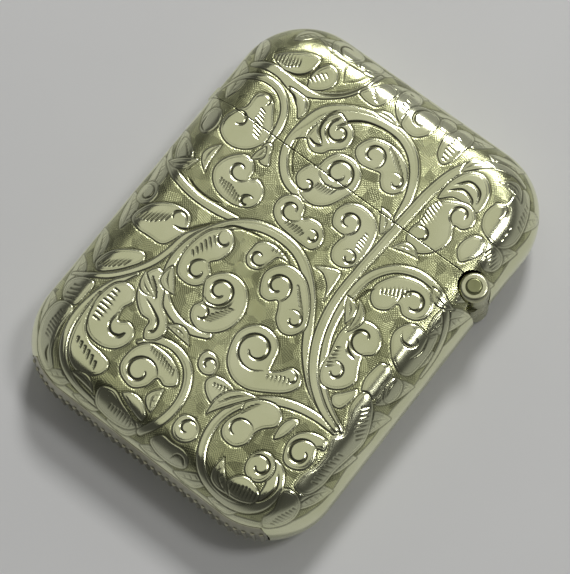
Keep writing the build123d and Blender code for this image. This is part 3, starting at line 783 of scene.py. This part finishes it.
# Columns and rows of the flat part, with its corners rounded, then rings over the shoulder.
columns = spaced([-FLAT_X, -BEND_X, BEND_X, FLAT_X])
rows = spaced([-FLAT_Y, -BEND_Y, NOTCH_Y, BODY_TOP, LID_BOTTOM, BEND_Y, FLAT_Y])
rings = spaced([0, NOTCH_RING, BAND_RING, QUARTER, RING_END])[1:]
grid_x, grid_y = np.meshgrid(columns, rows)
p = np.clip((np.abs(grid_x) - BEND_X) / CORE_CORNER, 0, 1)
q = np.clip((np.abs(grid_y) - BEND_Y) / CORE_CORNER, 0, 1)
round_x = BEND_X + CORE_CORNER * p * np.sqrt(1 - q * q / 2)
round_y = BEND_Y + CORE_CORNER * q * np.sqrt(1 - p * p / 2)
grid_x = np.where(p > 0, np.sign(grid_x) * round_x, grid_x)
grid_y = np.where(q > 0, np.sign(grid_y) * round_y, grid_y)

wide, tall = len(columns), len(rows)
number = np.arange(wide * tall).reshape(tall, wide)
edge = np.concatenate([number[0, :-1], number[:-1, -1], number[-1, :0:-1], number[:0:-1, 0]])
flat_place = np.column_stack([grid_x.ravel(), grid_y.ravel()])
edge_place = flat_place[edge]
centre = np.clip(edge_place, (-BEND_X, -BEND_Y), (BEND_X, BEND_Y))
edge_way = (edge_place - centre) / CORE_CORNER

round_count = len(edge)
foot = np.vstack([flat_place, np.tile(edge_place, (len(rings), 1))])
way = np.vstack([np.zeros_like(flat_place), np.tile(edge_way, (len(rings), 1))])
past = np.concatenate([np.zeros(wide * tall), np.repeat(rings, round_count)])
ring_number = wide * tall + np.arange(len(rings) * round_count).reshape(len(rings), round_count)
loops = np.vstack([edge, ring_number])
loops = np.column_stack([loops, loops[:, 0]])


def cells(table):
    """Corner numbers of each cell of a table of points, and each cell's row and column."""
    r, c = np.meshgrid(np.arange(table.shape[0] - 1), np.arange(table.shape[1] - 1), indexing="ij")
    quads = np.stack([table[:-1, :-1], table[:-1, 1:], table[1:, 1:], table[1:, :-1]], -1)
    return quads.reshape(-1, 4), r.ravel(), c.ravel()


def merged(table, kept):
    """Blocks of kept cells as single outlines, and the kept cells left over."""
    tall_blocks, wide_blocks = (n // BLOCK for n in kept.shape)
    whole = kept[:tall_blocks * BLOCK, :wide_blocks * BLOCK]
    whole = whole.reshape(tall_blocks, BLOCK, wide_blocks, BLOCK).all(axis=(1, 3))
    left = kept.copy()
    covered = np.kron(whole, np.ones((BLOCK, BLOCK), bool))
    left[:tall_blocks * BLOCK, :wide_blocks * BLOCK] &= ~covered
    along = np.arange(BLOCK)
    still = np.zeros(BLOCK, int)
    row_steps = np.concatenate([still, along, still + BLOCK, BLOCK - along])
    column_steps = np.concatenate([along, still + BLOCK, BLOCK - along, still])
    r, c = np.nonzero(whole)
    outline = table[r[:, None] * BLOCK + row_steps, c[:, None] * BLOCK + column_steps]
    quads, r, c = cells(table)
    return outline, quads[left[r, c]]


def sampled(field, at):
    """Bilinear reading of an engraved field at unrolled places."""
    x = np.clip((at[:, 0] + HALF_U) / PIXEL, 0, COLS - 1.001)
    y = np.clip((at[:, 1] + HALF_V) / PIXEL, 0, ROWS - 1.001)
    c, r = x.astype(int), y.astype(int)
    fx, fy = x - c, y - r
    lower = field[r, c] * (1 - fx) + field[r, c + 1] * fx
    upper = field[r + 1, c] * (1 - fx) + field[r + 1, c + 1] * fx
    return lower * (1 - fy) + upper * fy


def half_shell(name, of_lid, front):
    """One dished half: the engraved skin, the gilt skin inside it and the cut edges."""
    part_foot, part_past = foot.copy(), past.copy()
    part_way = way.copy()
    place = surface(part_foot, part_way, part_past)[0]
    flat_quads = cells(number)[0]
    ring_quads = cells(loops)[0][:, [0, 3, 2, 1]]
    quads = np.vstack([flat_quads, ring_quads])
    middle = place[quads].mean(axis=1)
    depth = part_past[quads].mean(axis=1)

    if of_lid:
        kept = middle[:, 1] > LID_BOTTOM
    else:
        kept = middle[:, 1] < BODY_TOP
        kept &= ~((middle[:, 0] > NOTCH_X) & (middle[:, 1] > NOTCH_Y))

    # The round clearance for the hinge: cells inside it go, and its edge is drawn to the arc.
    to_hinge = np.hypot(*(place[:, :2] - hinge).T)
    inside = to_hinge < RELIEF
    kept &= ~inside[quads].all(axis=1)
    crossing = quads[kept & inside[quads].any(axis=1)]
    moved = np.unique(crossing[inside[crossing]])
    x, y = place[moved, 0], place[moved, 1]
    side = 1 if of_lid else -1
    arc_y = hinge[1] + side * np.sqrt(np.maximum(RELIEF**2 - (x - hinge[0]) ** 2, 0))
    reach = np.sqrt(np.maximum(RELIEF**2 - (y - hinge[1]) ** 2, 0))
    arc_past = SHOULDER * np.arcsin(np.clip((hinge[0] - reach - FLAT_X) / SHOULDER, -1, 1))
    on_parting = (np.abs(y - (LID_BOTTOM if of_lid else BODY_TOP)) < EPS) & (x < hinge[0])
    sideways = (np.abs(arc_past - part_past[moved]) < np.abs(arc_y - y)) & (x < hinge[0])
    sideways |= on_parting
    part_past[moved[sideways]] = arc_past[sideways]
    part_foot[moved[~sideways], 1] = arc_y[~sideways]

    # The striker's window ends at a straight cut across each corner.
    if not of_lid:
        below = (part_past > BAND_RING - EPS) & (place[:, 1] < BAND_END)
        window_cells = depth > BAND_RING
        kept &= ~(window_cells & below[quads].all(axis=1))
        crossing = quads[kept & window_cells & below[quads].any(axis=1)]
        moved = np.unique(crossing[below[crossing]])
        moved = moved[np.abs(part_foot[moved, 0]) > BEND_X]
        radius = CORE_CORNER + SHOULDER * np.sin(np.minimum(part_past[moved], QUARTER) / SHOULDER)
        cosine = (-BEND_Y - BAND_END) / radius
        side = np.sign(part_foot[moved, 0])
        new_way = np.column_stack([side * np.sqrt(1 - cosine**2), -cosine])
        part_way[moved] = new_way
        corner = np.column_stack([side * BEND_X, np.full(len(moved), -BEND_Y)])
        part_foot[moved] = corner + new_way * CORE_CORNER

    place, normal, at = surface(part_foot, part_way, part_past)
    polished = sampled(polish, at)
    cut_depth = sampled(cut, at)
    sunk = RISE - sampled(level, at) + cut_depth
    outer = place - normal * sunk[:, None]

    # The inside of the sheet, kept clear of the hinge and standing on the striker plate.
    turn = np.minimum(part_past, QUARTER) / SHOULDER
    in_band = (place[:, 1] < BAND_END) & (part_past < BAND_RING + EPS)
    most = math.acos(1 - (THICK - WALL - BAND_TOP) / (SHOULDER - WALL))
    turn = np.where(in_band, np.minimum(turn, most), turn)
    out = (SHOULDER - WALL) * np.sin(turn)
    z = THICK - WALL - (SHOULDER - WALL) * (1 - np.cos(turn)) - np.maximum(part_past - QUARTER, 0)
    inner = np.column_stack([part_foot + part_way * out[:, None], z])
    from_hinge = inner[:, :2] - hinge
    distance = np.hypot(*from_hinge.T)
    push = np.maximum(RELIEF / np.maximum(distance, EPS), 1)
    inner[:, :2] = hinge + from_hinge * push[:, None]

    # Cut edges join the two skins wherever a kept cell has no neighbour.
    kept_quads = quads[kept]
    starts = kept_quads.ravel()
    ends = np.roll(kept_quads, -1, axis=1).ravel()
    total = len(place)
    forward = starts.astype(np.int64) * total + ends
    backward = ends.astype(np.int64) * total + starts
    open_edge = ~np.isin(forward, backward)
    a, b = starts[open_edge], ends[open_edge]
    edges = np.column_stack([b, a, a + total, b + total])

    flat_kept = kept[:len(flat_quads)].reshape(tall - 1, wide - 1)
    ring_kept = kept[len(flat_quads):].reshape(len(rings), round_count)
    flat_blocks, flat_left = merged(number, flat_kept)
    ring_blocks, ring_left = merged(loops, ring_kept)
    blocks = np.vstack([flat_blocks, ring_blocks[:, ::-1]])
    loose = np.vstack([flat_left, ring_left[:, ::-1]])
    uses = np.bincount(np.concatenate([blocks.ravel(), loose.ravel()]), minlength=total)
    needed = uses != 2
    needed[a] = True
    needed[b] = True
    corner_kept = needed[blocks]
    inner_sizes = np.concatenate([corner_kept.sum(axis=1), np.full(len(loose), 4)])
    block_loops = blocks[:, ::-1][corner_kept[:, ::-1]]
    inner_loops = np.concatenate([block_loops, loose[:, ::-1].ravel()]) + total

    all_loops = np.concatenate([kept_quads.ravel(), edges.ravel(), inner_loops])
    silver_count = len(kept_quads) + len(edges)
    sizes = np.concatenate([np.full(silver_count, 4), inner_sizes])
    gilt = np.repeat([0, 1], [silver_count, len(inner_sizes)])
    points = np.vstack([outer, inner])
    # The inner skin's points are polished, and their cut value paints shade down the cut edges.
    facts = np.vstack([
        np.column_stack([at, polished, cut_depth]),
        np.column_stack([at, np.ones(total), np.full(total, RIM_PAINTED_SHADE)]),
    ])
    used, all_loops = np.unique(all_loops, return_inverse=True)
    points, facts = points[used], facts[used]
    firsts = np.concatenate([[0], np.cumsum(sizes)[:-1]])
    if not front:
        points[:, 2] = THICK - points[:, 2]
        index = np.arange(len(all_loops))
        owner = np.repeat(np.arange(len(sizes)), sizes)
        all_loops = all_loops[firsts[owner] + sizes[owner] - 1 - (index - firsts[owner])]

    mesh = bpy.data.meshes.new(name)
    mesh.vertices.add(len(points))
    mesh.vertices.foreach_set("co", (points * MM).astype(np.float32).ravel())
    mesh.loops.add(len(all_loops))
    mesh.loops.foreach_set("vertex_index", all_loops.astype(np.int32))
    mesh.polygons.add(len(sizes))
    mesh.polygons.foreach_set("loop_start", firsts.astype(np.int32))
    mesh.polygons.foreach_set("material_index", gilt.astype(np.int32))
    mesh.update(calc_edges=True)
    for key, column in (("polish", 2), ("cut", 3)):
        layer = mesh.attributes.new(key, "FLOAT", "POINT")
        layer.data.foreach_set("value", facts[:, column].astype(np.float32))
    layer = mesh.attributes.new("unrolled", "FLOAT_VECTOR", "POINT")
    unrolled = np.column_stack([facts[:, :2], np.zeros(len(facts))])
    layer.data.foreach_set("vector", unrolled.astype(np.float32).ravel())
    mesh.validate()
    mesh.materials.append(engraved_silver)
    mesh.materials.append(gilt_silver)
    thing = bpy.data.objects.new(name, mesh)
    bpy.context.scene.collection.objects.link(thing)
    mark_sharp_rims(mesh, len(kept_quads), len(edges))
    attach(thing, "lid" if of_lid else "body")
    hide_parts(name.replace("engraved_", ""))
    return thing


def mark_sharp_rims(mesh, skin_count, rim_count):
    """Flat shading on the narrow cut edges, so that they stay crisp."""
    smooth = np.ones(len(mesh.polygons), bool)
    smooth[skin_count:skin_count + rim_count] = False
    mesh.polygons.foreach_set("use_smooth", smooth)


# --- pieces ---------------------------------------------------------------------------
for half in ("front", "back"):
    half_shell(f"engraved_body_{half}_shell", False, half == "front")
    half_shell(f"engraved_lid_{half}_shell", True, half == "front")

metals = {
    "striker_plate": striker_silver,
    "mouth_rim": gilt_silver,
    "body_knuckle_front": hinge_silver,
    "body_knuckle_back": hinge_silver,
    "pin_plug_front": plug_silver_painted_shade,
    "pin_plug_back": plug_silver_painted_shade,
    "hinge_pin": pin_metal,
    "leaf_spring": spring_metal,
    "spring_rivet": plain_silver,
    "lid_knuckle": hinge_silver,
    "thumb_catch": plain_silver,
}
for node, material in metals.items():
    mesh = frame["nodes"][node].data
    mesh.materials.clear()
    mesh.materials.append(material)

# --- floor, light and camera ----------------------------------------------------------
FLOOR_REACH = 3.0
FLOOR_GAP = 0.00002
floor_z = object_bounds()[0].z - FLOOR_GAP
floor_mesh = bpy.data.meshes.new("floor")
turns = ((-1, -1), (1, -1), (1, 1), (-1, 1))
corners = [(FLOOR_REACH * x, FLOOR_REACH * y, floor_z) for x, y in turns]
floor_mesh.from_pydata(corners, [], [(0, 1, 2, 3)])
floor_mesh.materials.append(make_floor())
floor = bpy.data.objects.new("floor", floor_mesh)
bpy.context.scene.collection.objects.link(floor)


def direction(azimuth, elevation):
    """Unit vector towards a place on the sky; azimuth 0 is the side of -Y."""
    a, e = math.radians(azimuth), math.radians(elevation)
    return Vector((math.sin(a) * math.cos(e), -math.cos(a) * math.cos(e), math.sin(e)))


def softbox(name, azimuth, elevation, distance, width, height, power, tint=(1, 1, 1)):
    """An area light that faces the middle of the case."""
    light = bpy.data.lights.new(name, "AREA")
    light.shape = "RECTANGLE"
    light.size, light.size_y = width, height
    light.energy = power
    light.color = tint
    thing = bpy.data.objects.new(name, light)
    way_out = direction(azimuth, elevation)
    thing.location = way_out * distance
    thing.rotation_euler = way_out.to_track_quat("Z", "Y").to_euler()
    bpy.context.scene.collection.objects.link(thing)


SKY = ((0.0, 0.32), (0.45, 0.28), (0.66, 0.07), (1.0, 0.04))
softbox("overhead", 229.5, 74, 0.9, 0.5, 0.5, 0.37, (1.0, 1.0, 0.87))
softbox("key", 199, 48, 0.8, 0.16, 0.16, 2.6)
softbox("side_key", 135, 62, 0.9, 0.16, 0.16, 1.4)

# A pale room near the horizon that darkens overhead, so that the silver has something to mirror.
world = bpy.data.worlds.new("studio")
world.use_nodes = True
sky = world.node_tree
place_in_sky = sky.nodes.new("ShaderNodeTexCoord")
height_in_sky = sky.nodes.new("ShaderNodeSeparateXYZ")
sky.links.new(place_in_sky.outputs["Generated"], height_in_sky.inputs[0])
sky_ramp = sky.nodes.new("ShaderNodeValToRGB")
sky.links.new(height_in_sky.outputs[2], sky_ramp.inputs["Fac"])
while len(sky_ramp.color_ramp.elements) < len(SKY):
    sky_ramp.color_ramp.elements.new(1.0)
for element, (place_up, grey) in zip(sky_ramp.color_ramp.elements, SKY):
    element.position = place_up
    element.color = (grey, grey, grey * 1.02, 1)
sky.links.new(sky_ramp.outputs["Color"], sky.nodes["Background"].inputs["Color"])
bpy.context.scene.world = world

# The photograph's viewing angle, and the point that the camera faces in millimetres.
CAMERA_DISTANCE = 0.240
CAMERA_AZIMUTH, CAMERA_ELEVATION, CAMERA_ROLL = 49.516, 73.37, -11.899
CAMERA_TARGET = (0.504, -0.838, 4.6)
FOCAL_LENGTH, SENSOR_WIDTH = 144.41, 36
target = Vector(CAMERA_TARGET) * MM
back = direction(CAMERA_AZIMUTH, CAMERA_ELEVATION)
right = (-back).cross(Vector((0, 0, 1))).normalized()
up = right.cross(-back)
roll = math.radians(CAMERA_ROLL)
across = right * math.cos(roll) + up * math.sin(roll)
upright = up * math.cos(roll) - right * math.sin(roll)
lens = bpy.data.cameras.new("camera")
lens.lens = FOCAL_LENGTH
lens.sensor_width = SENSOR_WIDTH
lens.clip_start = 0.01
lens.clip_end = 20
camera = bpy.data.objects.new("camera", lens)
turned = Matrix((across, upright, back)).transposed()
camera.matrix_world = Matrix.Translation(target + back * CAMERA_DISTANCE) @ turned.to_4x4()
bpy.context.scene.collection.objects.link(camera)
bpy.context.scene.camera = camera
bpy.context.scene.view_settings.view_transform = "Standard"
